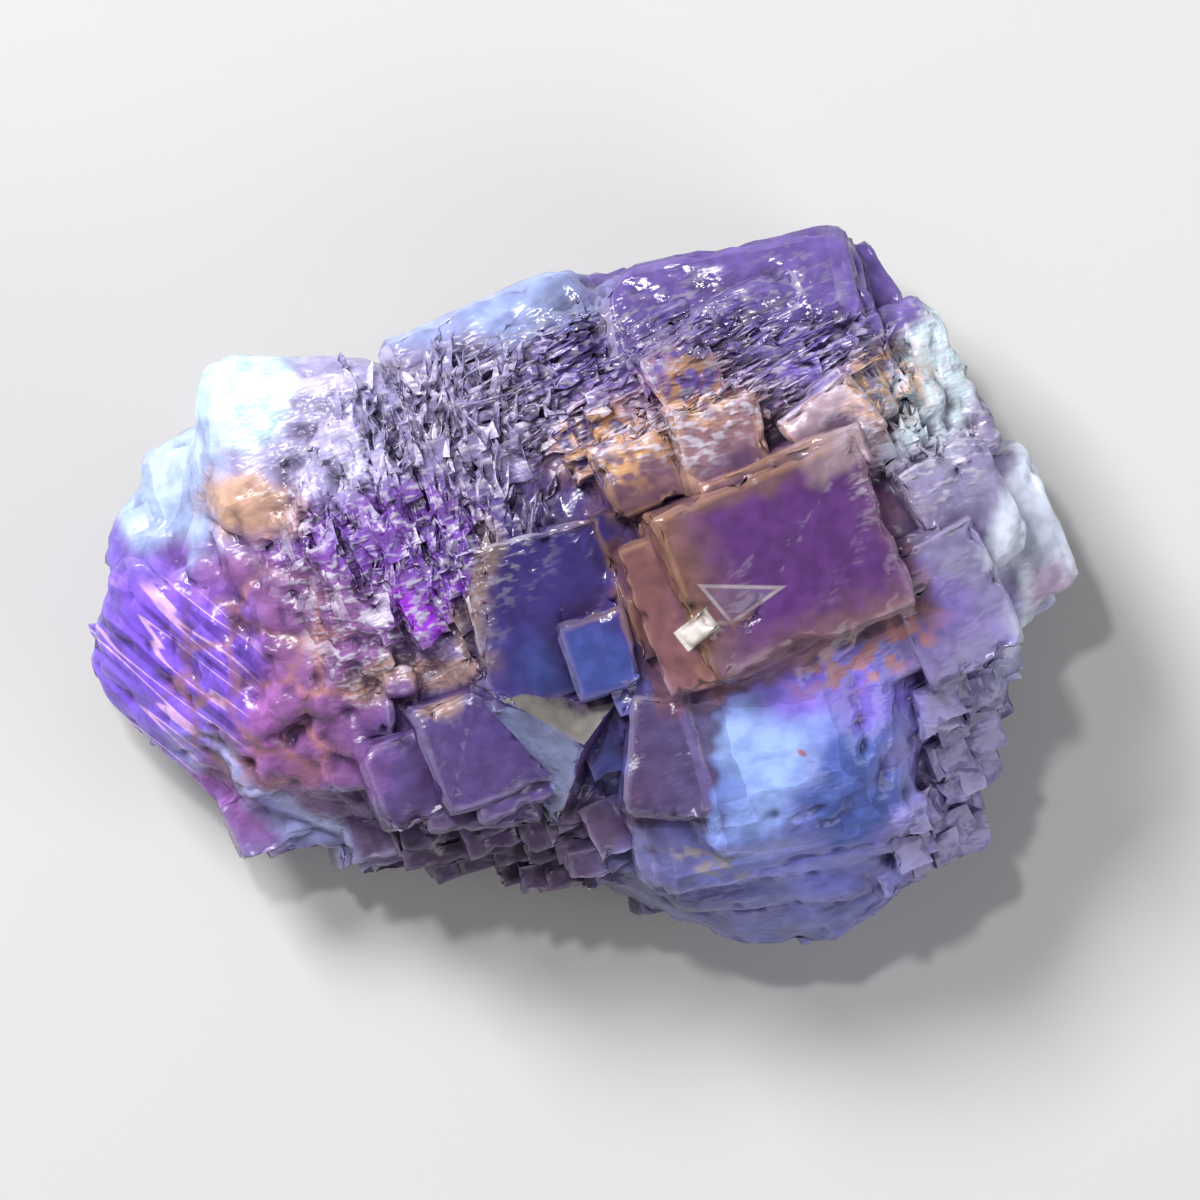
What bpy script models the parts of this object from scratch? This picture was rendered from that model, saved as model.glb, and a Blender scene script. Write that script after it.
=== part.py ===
"""A hand-sized cluster of purple fluorite, cubes grown into one another, lying on its flat broken back.

The outward side faces up. The back rests on Z = 0, and the origin is under the middle of the cluster.
Sizes below are millimetres and angles are degrees; the scene itself is in metres.
"""

import math
import random
from typing import NamedTuple

import bmesh
import bpy
from mathutils import Matrix, Vector

MM = 0.001
NODE = "fluorite_cluster"

# Height of the widest part of the cluster, and the first of the seeds that all the chance values come from.
WAIST_HEIGHT = 9.5
FIRST_SEED = 11

# The plan of the mass inside the crystals, seen from above, from the left tip and clockwise.
MASS_OUTLINE = (
    (-31.6, -5.5), (-30.6, -2.0), (-29.2, 2.0), (-27.2, 6.4), (-24.6, 10.0), (-22.0, 12.8),
    (-17.0, 13.8), (-12.2, 13.7), (-8.0, 16.2), (-2.8, 18.2), (1.6, 19.4), (6.4, 19.8),
    (11.8, 21.2), (16.0, 22.0), (19.0, 20.6), (21.8, 18.0), (23.2, 15.2), (25.2, 11.2),
    (27.6, 8.2), (29.2, 4.6), (29.8, 1.0), (28.5, -2.8), (27.5, -7.2), (26.8, -11.0),
    (25.0, -15.2), (21.4, -19.4), (16.8, -22.9), (11.0, -23.1), (6.8, -21.7), (1.8, -19.4),
    (-5.6, -17.4), (-12.0, -17.4), (-17.0, -15.7), (-21.0, -14.4), (-28.4, -9.0),
)

# The back of the mass, from the bed up: share of the outline, height.
BACK_RINGS = ((0.50, -1.0), (0.68, 1.0), (0.90, 4.4), (1.00, WAIST_HEIGHT))
# The outward side of the mass, from the rim in: share of the outline.
CROWN_SHARES = (0.96, 0.88, 0.77, 0.63, 0.48, 0.32, 0.16)
# What the outward side swells to: place, height, and how fast it falls off from there.
SWELLS = (
    (12.5, 1.5, 26.0, 0.022),
    (-1.0, -1.0, 23.0, 0.030),
    (-11.0, 5.0, 22.6, 0.020),
    (-18.5, -5.5, 19.8, 0.030),
    (-18.2, 9.6, 20.0, 0.050),
    (-5.5, -11.5, 20.4, 0.050),
    (13.8, -10.0, 20.8, 0.060),
    (24.5, 2.0, 21.2, 0.040),
    (20.5, 11.0, 22.6, 0.050),
    (11.0, 14.0, 21.6, 0.030),
)

# A blunter edge than this is a soft round, and a finer one a narrow flat.
ROUND_EDGE = 1.0
# Turn from each block of a patch to the next, so that they spread evenly, and how far chance moves each one.
GOLDEN_ANGLE = math.radians(137.508)
SCATTER = 0.4
# How far below its outward face a small block reaches into the mass.
ROOT_DEPTH = 8.0

# The dome and the flank under it, where no small crystals stand: middle and reach.
SMOOTH_ZONES = ((14.2, -10.0, 8.6), (11.5, -18.0, 8.0))

# How the cubes of the outward side lie: turned about the view, and leaning down and to the right.
TURN = 21.0
LEAN = 12.0
TOWARD = -35.0


class Crystal(NamedTuple):
    """A cube or block, by the middle of its outward face, its three sides and the way it lies.

    turn is about the view, and lean is the outward face's tilt towards the bearing toward.
    """

    face: tuple
    size: tuple
    turn: float = TURN
    lean: float = LEAN
    toward: float = TOWARD
    edge: float = 0.2


# The crystals that can be told apart on the outward side.
MAIN_CRYSTALS = {
    "purple cube": Crystal((13.3, 1.5, 27.6), (14.3, 11.8, 15.0), 22.0, 13.0, -20.0, edge=0.35),
    "upper ledge": Crystal((13.4, 7.0, 27.4), (11.0, 3.0, 9.0), turn=21.0),
    "brown flank": Crystal((5.7, -2.0, 26.6), (3.8, 10.4, 10.0), 20.0, 30.0, -162.0, edge=0.3),
    "glint chip": Crystal((7.7, -2.8, 28.6), (2.0, 1.3, 4.0), 42.0, 20.0, -150.0, edge=0.0),
    "brown cube": Crystal((9.3, 8.9, 27.6), (5.8, 5.8, 9.0), turn=14.0, edge=0.3),
    "brown block": Crystal((4.2, 7.0, 27.2), (4.9, 4.6, 9.0), turn=22.0),
    "crossed block": Crystal((16.4, 10.1, 26.2), (5.6, 4.6, 9.0), turn=38.0),
    "orange block": Crystal((7.2, 13.0, 25.4), (4.4, 5.2, 9.0), turn=30.0),
    "indigo cube": Crystal((-0.6, -1.6, 23.6), (12.0, 10.6, 15.0), 14.0, 8.0, -60.0),
    "blue step": Crystal((1.7, -4.4, 24.3), (4.4, 5.2, 7.0), 18.0, 8.0, -60.0),
    "upper plate": Crystal((-5.7, -10.2, 22.2), (7.6, 7.2, 9.0), turn=20.0, edge=0.3),
    "left plate": Crystal((-10.0, -12.2, 20.8), (6.2, 6.0, 9.0), turn=22.0, edge=0.3),
    "middle plate": Crystal((-3.4, -12.0, 21.2), (6.8, 4.6, 8.0), turn=19.0, edge=0.3),
    "lower plate": Crystal((-5.9, -13.2, 19.8), (7.6, 4.8, 8.0), turn=6.0, edge=0.3),
    "brown lid": Crystal((6.0, -11.0, 23.2), (5.4, 7.8, 9.0), turn=-5.0, lean=6.0, edge=0.25),
    "blue dome": Crystal((13.5, -10.0, 23.8), (14.8, 14.6, 14.0), 14.0, 9.0, -65.0, edge=3.6),
    "violet shelf": Crystal((18.7, -4.6, 23.4), (7.6, 4.6, 9.0), 25.0, 14.0, -45.0, edge=0.3),
    "dome skirt": Crystal((12.6, -15.6, 19.8), (18.6, 9.0, 14.0), 13.0, 30.0, -80.0, edge=2.6),
    "dome foot": Crystal((12.6, -18.8, 15.8), (15.0, 8.0, 12.0), 6.0, 44.0, -88.0, edge=2.6),
    "violet plate": Crystal((24.0, -1.2, 22.8), (7.2, 9.0, 11.0), 27.0, 16.0, -15.0),
    "grey plate": Crystal((25.0, 4.8, 21.8), (6.4, 8.6, 11.0), 30.0, 20.0, 0.0),
    "upper slab": Crystal((9.5, 18.5, 18.8), (17.0, 8.0, 13.0), 11.0, 27.0, 106.0, edge=1.2),
    "upper corner": Crystal((16.4, 19.1, 17.8), (5.2, 8.0, 13.0), 8.0, 30.0, 70.0, edge=1.0),
    "ridge": Crystal((-5.6, 16.3, 16.6), (14.0, 6.0, 12.0), 24.0, 32.0, 114.0, edge=0.8),
    "left lobe": Crystal((-18.3, 9.5, 21.4), (13.2, 10.8, 12.0), -2.0, 10.0, 150.0, edge=2.4),
    "lobe heel": Crystal((-20.2, 4.9, 21.4), (5.4, 4.6, 9.0), 42.0, 14.0, -110.0, edge=0.8),
}

# The paler crystals that stand lower, round the rim, and give the cluster its outline.
RIM_CRYSTALS = {
    "right point": Crystal((28.6, 3.8, 14.0), (5.2, 9.8, 10.0), 21.0, 10.0, -20.0, edge=0.4),
    "right point foot": Crystal((28.2, -0.2, 12.0), (5.6, 3.6, 8.0), 25.0, 10.0, -20.0, edge=0.4),
    "right saddle": Crystal((24.8, 10.8, 16.2), (4.2, 6.0, 11.0), 27.0, 22.0, 30.0, edge=0.4),
    "right upper": Crystal((22.1, 15.5, 16.0), (4.4, 6.2, 11.0), 24.0, 20.0, 35.0, edge=0.4),
    "top point": Crystal((18.6, 19.2, 15.0), (3.6, 5.4, 10.0), 29.0, 12.0, 60.0, edge=0.3),
    "top bump": Crystal((2.6, 18.8, 15.0), (5.0, 4.6, 10.0), 18.0, 30.0, 100.0, edge=0.6),
    "tip shoulder": Crystal((-27.9, 3.2, 13.4), (4.2, 5.6, 8.0), -14.0, 14.0, 180.0, edge=0.4),
    "rear left": Crystal((-25.4, 6.6, 14.0), (4.8, 6.4, 9.0), 20.0, 14.0, 160.0, edge=0.4),
    "rear bump": Crystal((-26.6, 6.0, 11.0), (2.6, 3.0, 6.0), 5.0, 10.0, 160.0, edge=0.3),
    "lower step": Crystal((22.6, -15.2, 12.6), (4.4, 4.2, 9.0), 24.0, 16.0, -40.0, edge=0.25),
    "lowest step": Crystal((18.8, -19.0, 10.6), (4.0, 4.2, 8.0), 28.0, 16.0, -50.0, edge=0.25),
    "foot corner": Crystal((15.4, -20.8, 9.6), (4.2, 4.0, 8.0), 35.0, 16.0, -80.0, edge=0.4),
    "pale edge": Crystal((-16.2, -15.6, 10.0), (11.4, 2.6, 6.0), -17.0, 20.0, -107.0, edge=0.3),
}

# The glassy left tip is a pile of thin leaves: middle of each one's face, length, height of its face.
TIP_LEAVES = (
    (-26.2, -9.0, 13.5, 10.6),
    (-26.4, -6.6, 12.5, 13.2),
    (-26.0, -4.2, 11.2, 15.4),
    (-26.2, -1.8, 8.6, 16.6),
)
TIP_TURN = -39.0
TIP_LEAF_WIDTH = 4.2

# Twin crystals, whose corner stands out of another crystal's face: corner, side, turn, lean, bearing.
TWIN_CORNERS = {
    "large twin": ((0.6, -10.1, 24.8), 8.4, 108.0, 26.5, -42.0),
    "small twin": ((10.1, -2.6, 28.3), 3.6, 99.0, 25.5, -99.0),
}
CORNER_TILT = math.degrees(math.atan(math.sqrt(2.0)))


class Patch(NamedTuple):
    """Small blocks over an oval of the surface, which they stand above by rise, give or take steps.

    loose is how far each one's turn strays, and out_to how near the rim they come.
    """

    centre: tuple
    spread: tuple
    count: int
    size: tuple
    turn: float
    lean: float
    toward: float
    rise: float
    edge: float = 0.0
    loose: float = 8.0
    steps: float = 0.5
    out_to: float = 0.95


# The surfaces that are broken up into many small blocks.
PATCHES = {
    "ground": Patch((0.0, 0.0), (31.0, 22.0), 120, (4.6, 4.4), TURN, LEAN, TOWARD, -0.3, out_to=0.86),
    "shard": Patch((-11.5, 4.8), (7.4, 8.0), 42, (1.7, 3.2), 24.0, 18.0, 0.0, 1.1),
    "grain": Patch((-18.8, -5.4), (7.6, 8.0), 36, (2.8, 2.8), 8.0, 15.0, -150.0, 1.1, edge=0.35),
    "mosaic": Patch((23.4, -10.8), (5.2, 9.6), 46, (2.6, 2.6), 24.0, 32.0, -25.0, 1.6, loose=3.0, steps=0.9,
                    out_to=0.99),
    "lump": Patch((21.4, 11.6), (3.8, 5.4), 14, (2.8, 2.4), 30.0, 20.0, 40.0, 1.0, edge=0.3),
    "leaf": Patch((-2.4, -15.6), (8.2, 2.4), 14, (5.0, 2.8), 18.0, 18.0, -80.0, 0.6, out_to=0.9),
}

# The upper flank: rows of long thin blocks, from a place near the middle out to its two ends.
TERRACE_START = (3.0, 9.0)
TERRACE_ROWS = 7
TERRACE_PITCH = 1.35
TERRACE_ENDS = (-13.5, 13.0)
TERRACE_LENGTH = (3.2, 6.8)
TERRACE_WIDTH = (1.8, 2.8)
TERRACE_OUT_TO = 0.9

# Cubes round the sides and the back, in two rings: lowest, highest, distance in from the rim, how many.
FLANK_RINGS = ((3.2, 5.2, 5.2, 18), (7.2, 10.6, 3.3, 32))
FLANK_SIDE = (4.2, 6.6)
BED_SIZE = (200.0, 200.0, 50.0)


def axes(turn, lean, toward):
    """The directions of a crystal's sides: turned about the vertical, then leant towards a bearing."""
    bearing = math.radians(toward)
    hinge = Vector((-math.sin(bearing), math.cos(bearing), 0.0))
    return Matrix.Rotation(math.radians(lean), 4, hinge) @ Matrix.Rotation(math.radians(turn), 4, "Z")


def add_object(name, bm, collection):
    """A new object from a bmesh, in a collection."""
    mesh = bpy.data.meshes.new(name)
    bm.to_mesh(mesh)
    bm.free()
    thing = bpy.data.objects.new(name, mesh)
    collection.objects.link(thing)
    return thing


def add_crystal(name, crystal, grown):
    """A block with narrow flats or a soft round along its edges, hung from its outward face."""
    sides = Vector(crystal.size) * MM
    bm = bmesh.new()
    hang = Matrix.Translation((0.0, 0.0, -sides.z / 2.0))
    bmesh.ops.create_cube(bm, size=1.0, matrix=hang @ Matrix.Diagonal((*sides, 1.0)))
    if crystal.edge:
        steps = 3 if crystal.edge >= ROUND_EDGE else 1
        width = crystal.edge * MM
        bmesh.ops.bevel(bm, geom=bm.edges[:], offset=width, segments=steps, profile=0.5, affect="EDGES")
    block = add_object(name, bm, grown)
    place = Matrix.Translation(Vector(crystal.face) * MM)
    block.matrix_world = place @ axes(crystal.turn, crystal.lean, crystal.toward)
    return block


def add_twin_corner(name, corner, side, turn, lean, toward, grown):
    """A cube that stands on one corner, so that the opposite corner points out."""
    bm = bmesh.new()
    bmesh.ops.create_cube(bm, size=side * MM)
    bmesh.ops.translate(bm, vec=Vector((-0.5, -0.5, -0.5)) * side * MM, verts=bm.verts)
    twin = add_object(name, bm, grown)
    on_corner = Matrix.Rotation(math.radians(CORNER_TILT), 4, Vector((1.0, -1.0, 0.0)))
    twin.matrix_world = Matrix.Translation(Vector(corner) * MM) @ axes(turn, lean, toward) @ on_corner
    return twin


def rim_share(x, y):
    """How far out a point of the plan is: 0 in the middle, 1 on the outline of the mass."""
    point = Vector((x, y))
    for first, second in zip(MASS_OUTLINE, MASS_OUTLINE[1:] + MASS_OUTLINE[:1]):
        start, end = Vector(first), Vector(second)
        if start.cross(point) <= 0.0 <= end.cross(point):
            side = end - start
            return abs(side.cross(point) / side.cross(start))
    return 0.0


def is_smooth(x, y):
    """Whether a point of the plan is on the dome or on the flank under it."""
    return any(math.hypot(x - at_x, y - at_y) < reach for at_x, at_y, reach in SMOOTH_ZONES)


def surface(x, y):
    """Height of the outward side of the mass over a point of the plan."""
    crown = max(top - fall * ((x - at_x) ** 2 + (y - at_y) ** 2) for at_x, at_y, top, fall in SWELLS)
    share = min(rim_share(x, y), 1.0)
    return WAIST_HEIGHT + max(crown - WAIST_HEIGHT, 4.0) * (1.0 - share ** 5) ** 0.6


def add_mass(model):
    """The mass between the crystals: rings of the outline from the back over the rim to the crown."""
    bm = bmesh.new()
    rings = [[bm.verts.new(Vector((x * share, y * share, height)) * MM) for x, y in MASS_OUTLINE]
             for share, height in BACK_RINGS]
    for share in CROWN_SHARES:
        ring = []
        for x, y in MASS_OUTLINE:
            at = Vector((x * share, y * share, surface(x * share, y * share)))
            ring.append(bm.verts.new(at * MM))
        rings.append(ring)
    for low, high in zip(rings, rings[1:]):
        for i in range(len(low)):
            j = (i + 1) % len(low)
            bm.faces.new((low[i], high[i], high[j], low[j]))
    bm.faces.new(rings[0])
    bm.faces.new(rings[-1])
    bmesh.ops.recalc_face_normals(bm, faces=bm.faces)
    return add_object(NODE, bm, model)


def add_tip(grown):
    """The left tip: long thin leaves that lie over one another like slates."""
    for x, y, length, height in TIP_LEAVES:
        leaf = Crystal((x, y, height), (length, TIP_LEAF_WIDTH, 8.0), turn=TIP_TURN, lean=22.0,
                       toward=TIP_TURN - 90.0, edge=0.3)
        add_crystal(f"tip leaf {height:.0f}", leaf, grown)


def add_terraces(grown):
    """The upper flank: each row of blocks is further up, and lower, than the last."""
    chance = random.Random(FIRST_SEED + 1)
    lie = axes(TURN, 0.0, 0.0).to_3x3()
    along, across = lie.col[0], lie.col[1]
    left, right = TERRACE_ENDS
    for row in range(TERRACE_ROWS):
        at = left + chance.uniform(0.0, 2.0)
        while at < right:
            length = chance.uniform(*TERRACE_LENGTH)
            up = row * TERRACE_PITCH + chance.uniform(-SCATTER, SCATTER)
            face = Vector((*TERRACE_START, 0.0)) + along * (at + length / 2.0) + across * up
            face.z = surface(face.x, face.y) + chance.uniform(0.1, 1.0)
            if rim_share(face.x, face.y) < TERRACE_OUT_TO:
                size = (length, chance.uniform(*TERRACE_WIDTH), ROOT_DEPTH)
                block = Crystal(tuple(face), size, TURN + chance.uniform(-6.0, 8.0), edge=0.0)
                add_crystal(f"terrace {row} {at:.1f}", block, grown)
            at += length * 0.9


def add_patch(name, patch, seed, grown):
    """The blocks of one patch, on a spiral from its middle out."""
    chance = random.Random(seed)
    for i in range(patch.count):
        share = math.sqrt((i + 0.5) / patch.count)
        turned = i * GOLDEN_ANGLE
        x = patch.centre[0] + patch.spread[0] * share * math.cos(turned) + chance.uniform(-SCATTER, SCATTER)
        y = patch.centre[1] + patch.spread[1] * share * math.sin(turned) + chance.uniform(-SCATTER, SCATTER)
        width = patch.size[0] * chance.uniform(0.75, 1.3)
        length = width * patch.size[1] / patch.size[0] * chance.uniform(0.8, 1.25)
        stray = patch.loose
        block = Crystal(
            (x, y, surface(x, y) + patch.rise + chance.uniform(-patch.steps, patch.steps)),
            (width, length, ROOT_DEPTH),
            turn=patch.turn + chance.uniform(-stray, stray),
            lean=patch.lean * (1.0 + chance.uniform(-stray, stray) / 18.0),
            toward=patch.toward + chance.uniform(-stray, stray) * 4.0,
            edge=patch.edge,
        )
        if rim_share(x, y) < patch.out_to and not is_smooth(x, y):
            add_crystal(f"{name} {i}", block, grown)


def add_flank_crystals(grown):
    """Cubes round the sides and the back, which grew out from the mass in every direction."""
    chance = random.Random(FIRST_SEED + 8)
    for low, high, inset, count in FLANK_RINGS:
        for i in range(count):
            along = (i + chance.uniform(-0.25, 0.25)) / count * len(MASS_OUTLINE)
            first = int(along) % len(MASS_OUTLINE)
            second = (first + 1) % len(MASS_OUTLINE)
            point = Vector(MASS_OUTLINE[first]).lerp(Vector(MASS_OUTLINE[second]), along % 1.0)
            point *= 1.0 - inset / point.length
            side = chance.uniform(*FLANK_SIDE)
            if high > WAIST_HEIGHT and is_smooth(point.x, point.y):
                continue
            block = Crystal(
                (point.x, point.y, chance.uniform(low, high) + side / 2.0),
                (side, side * chance.uniform(0.8, 1.1), side),
                turn=TURN + chance.uniform(-8.0, 8.0),
                lean=LEAN + chance.uniform(-6.0, 8.0),
                toward=math.degrees(math.atan2(point.y, point.x)) + chance.uniform(-50.0, 50.0),
            )
            add_crystal(f"flank {low:.0f} {i}", block, grown)


def fluorite():
    """Purple fluorite, glassy and see-through."""
    material = bpy.data.materials.new("purple_fluorite")
    material.use_nodes = True
    shader = material.node_tree.nodes["Principled BSDF"]
    shader.inputs["Base Color"].default_value = (0.26, 0.17, 0.55, 1.0)
    shader.inputs["Metallic"].default_value = 0.0
    shader.inputs["Roughness"].default_value = 0.22
    shader.inputs["IOR"].default_value = 1.434
    return material


def helper_collection(name):
    """A collection that is not part of the model: its objects only shape the cluster."""
    helpers = bpy.data.collections.new(name)
    helpers.hide_render = True
    bpy.context.scene.collection.children.link(helpers)
    return helpers


def add_boolean(thing, operation, **operand):
    """A Boolean modifier on the cluster."""
    modifier = thing.modifiers.new(operation.lower(), "BOOLEAN")
    modifier.operation = operation
    modifier.solver = "EXACT"
    for setting, value in operand.items():
        setattr(modifier, setting, value)


def add_bed(helpers):
    """The block below the cluster that cuts its back off flat."""
    bm = bmesh.new()
    under = Matrix.Translation((0.0, 0.0, -0.5))
    bmesh.ops.create_cube(bm, size=1.0, matrix=Matrix.Diagonal((*Vector(BED_SIZE) * MM, 1.0)) @ under)
    return add_object("bed", bm, helpers)


def main():
    for thing in list(bpy.data.objects):
        bpy.data.objects.remove(thing)
    model = bpy.data.collections.new("fluorite specimen")
    bpy.context.scene.collection.children.link(model)
    grown = helper_collection("grown crystals")
    cutters = helper_collection("cutters")

    cluster = add_mass(model)
    cluster.data.materials.append(fluorite())
    for name, crystal in {**MAIN_CRYSTALS, **RIM_CRYSTALS}.items():
        add_crystal(name, crystal, grown)
    for name, (corner, side, turn, lean, toward) in TWIN_CORNERS.items():
        add_twin_corner(name, corner, side, turn, lean, toward, grown)
    add_tip(grown)
    add_terraces(grown)
    for i, (name, patch) in enumerate(PATCHES.items()):
        add_patch(name, patch, FIRST_SEED + 2 + i, grown)
    add_flank_crystals(grown)
    bed = add_bed(cutters)
    for helper in (*grown.objects, bed):
        helper.hide_render = True
        helper.display_type = "WIRE"
    add_boolean(cluster, "UNION", operand_type="COLLECTION", collection=grown)
    add_boolean(cluster, "DIFFERENCE", object=bed)


if __name__ == "__main__":
    main()
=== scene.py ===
"""The look of the fluorite cluster: fine crystals grown over its surface, glassy coloured stone, light and camera.

Lengths in the tables are millimetres, angles are degrees and colours are sRGB values out of 255.
"""

import math
from typing import NamedTuple

import bmesh
import bpy
import numpy as np
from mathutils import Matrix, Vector, noise
from mathutils.kdtree import KDTree


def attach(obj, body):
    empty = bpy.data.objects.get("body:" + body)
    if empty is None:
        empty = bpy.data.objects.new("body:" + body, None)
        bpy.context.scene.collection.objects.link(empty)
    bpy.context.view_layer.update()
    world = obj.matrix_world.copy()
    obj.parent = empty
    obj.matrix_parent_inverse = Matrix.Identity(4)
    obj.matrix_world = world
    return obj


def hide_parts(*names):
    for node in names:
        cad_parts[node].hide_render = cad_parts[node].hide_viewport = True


MM = 0.001
NODE = "fluorite_cluster"
PIECE = "fluorite_surface"

# The photograph is 1200 pixels square, and one of its pixels is this many millimetres on the specimen.
PHOTO_PIXELS = 1200.0
MM_PER_PIXEL = 65.0 / 1014.0
# The photograph's middle, seen from the middle of the specimen, and the height of the rim that it was measured on.
VIEW_MIDDLE = (1.6, -0.9)
RIM_HEIGHT = 14.0
CAMERA_DISTANCE = 900.0
SENSOR_WIDTH = 36.0

# How the cubes of the outward side are turned about the view.
TURN = 21.0


class Growth(NamedTuple):
    """Small crystals over an oval part of the surface: how thick they stand, their size and the way they lie."""

    form: str
    middle: tuple
    reach: tuple
    per_cm2: float
    size: tuple
    way: tuple
    stray: tuple = (8, 8, 8)
    sunk: float = 0.3
    smallest: float = 0.5
    largest: float = 1.5


# The way is each crystal's turn about X, Y and Z. A chip's long axis is its own Z, and near -90 it lies up the view.
GROWTHS = {
    "shards": Growth("chip", (-9.8, 5.6, 22.0), (8.4, 7.6, 6.0), 100.0, (0.8, 0.8, 2.3), (-84, 0, 12), (8, 180, 22)),
    "flakes": Growth("chip", (-6.4, 11.6, 21.0), (5.4, 3.0, 6.0), 50.0, (0.9, 0.9, 2.4), (-84, 0, 8), (8, 180, 24)),
    "ridges": Growth("chip", (4.0, 13.2, 20.0), (14.0, 5.6, 9.0), 170.0, (0.5, 0.5, 2.4), (-88, 0, -62), (4, 180, 9)),
    "blocks": Growth("cube", (-1.0, 11.0, 21.0), (8.0, 4.4, 9.0), 16.0, (2.2, 0.8, 0.9), (8, -10, 24), (8, 8, 8)),
    "mosaic": Growth("cube", (24.0, -11.6, 13.0), (6.2, 10.4, 10.0), 9.0, (2.8, 2.4, 1.8), (18, 16, 22), (4, 4, 4),
                     0.9, 0.6, 1.2),
    "lumps": Growth("chip", (21.5, 11.0, 18.0), (5.0, 5.6, 8.0), 90.0, (0.8, 0.8, 1.3), (-80, 20, 20), (14, 180, 50)),
    "leaves": Growth("cube", (-2.5, -17.4, 11.0), (10.0, 3.2, 6.0), 9.0, (5.0, 1.6, 0.7), (26, 4, 14), (5, 5, 5)),
    "seam": Growth("chip", (-6.4, -1.4, 22.0), (1.0, 5.6, 4.0), 200.0, (0.5, 0.5, 0.5), (0, 0, 20), (60, 60, 60)),
    "sides": Growth("cube", (0.0, 0.0, 5.0), (30.0, 25.0, 9.0), 5.0, (3.4, 3.4, 3.4), (8, 10, 20), (8, 8, 8), 0.9),
}


class Worn(NamedTuple):
    """An oval place where the stone is rounded: how often its surface is smoothed."""

    middle: tuple
    reach: tuple
    rounds: int


WORN_PLACES = {
    "blue dome": Worn((14.8, -11.6), (7.2, 8.8), 160),
    "left lobe": Worn((-19.6, 9.2), (6.6, 6.4), 24),
    "magenta mass": Worn((-20.0, -6.2), (8.4, 9.0), 16),
    "right point": Worn((29.6, 3.4), (3.6, 8.0), 12),
    "left tip": Worn((-28.6, -7.4), (6.6, 9.4), 60),
    "rear left": Worn((-26.4, 6.4), (4.6, 6.0), 20),
    "right upper rim": Worn((24.6, 15.4), (3.6, 7.0), 12),
    "upper flank": Worn((9.0, 20.0), (13.0, 3.4), 8),
}
# The glassy lumps of the magenta mass: their breadth, how far they swell, and where they are.
LUMP_BREADTH = 3.6
LUMP_SWELL = 0.5
LUMPS = Worn((-20.0, -6.2), (7.6, 8.6), 0)

# Faces are slightly uneven, and their outward edges are chipped: how fine, how deep and how far in.
WAVE_SCALE = 0.35
WAVE_DEPTH = 0.25
CHIP_SCALE = 0.9
CHIP_DEPTH = 1.1
CHIP_REACH = 0.9

# What grows below the bed is cut off by this block, whose top is at the bed, and near the bed faces stay even.
FLOOR_BLOCK = (120.0, 120.0, 20.0)
EVEN_BED = 2.0

LONGEST_EDGE = 0.95
REFINING_ROUNDS = 8
SHARP_DEGREES = 24.0
RIM_STEP = 0.15


class Zone(NamedTuple):
    """A coloured part of the stone: an oval or a turned block, as seen from above, with a soft edge."""

    middle: tuple
    reach: tuple
    colour: tuple
    turn: float = 0.0
    soft: float = 0.25
    share: float = 0.9
    block: bool = False


# Colours that run through the stone, so that they also show on its sides and underneath.
DEEP_ZONES = {
    "violet tip": Zone((-29.0, -7.0), (9.0, 9.0), (112, 80, 222)),
    "magenta mass": Zone((-19.5, -6.0), (10.0, 10.0), (128, 70, 150)),
    "grey lobe": Zone((-18.0, 11.0), (11.0, 8.0), (150, 146, 200)),
    "indigo middle": Zone((-1.0, -4.0), (9.0, 11.0), (60, 52, 134)),
    "purple flank": Zone((9.0, 17.0), (18.0, 8.0), (100, 82, 160)),
    "blue dome": Zone((13.0, -13.0), (11.0, 12.0), (84, 100, 190)),
    "brown heart": Zone((11.0, 4.0), (8.0, 8.0), (98, 68, 104)),
    "pale right": Zone((29.0, 5.0), (6.0, 12.0), (168, 172, 212)),
    # Painted rim light: pale cyan along the lower left edge.
    "lower painted rim light": Zone((-17.4, -15.0), (8.4, 1.3), (154, 164, 238), -34.0, 0.5),
    "dusky foot": Zone((-4.0, -18.0), (14.0, 6.6), (62, 48, 80)),
}

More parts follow.
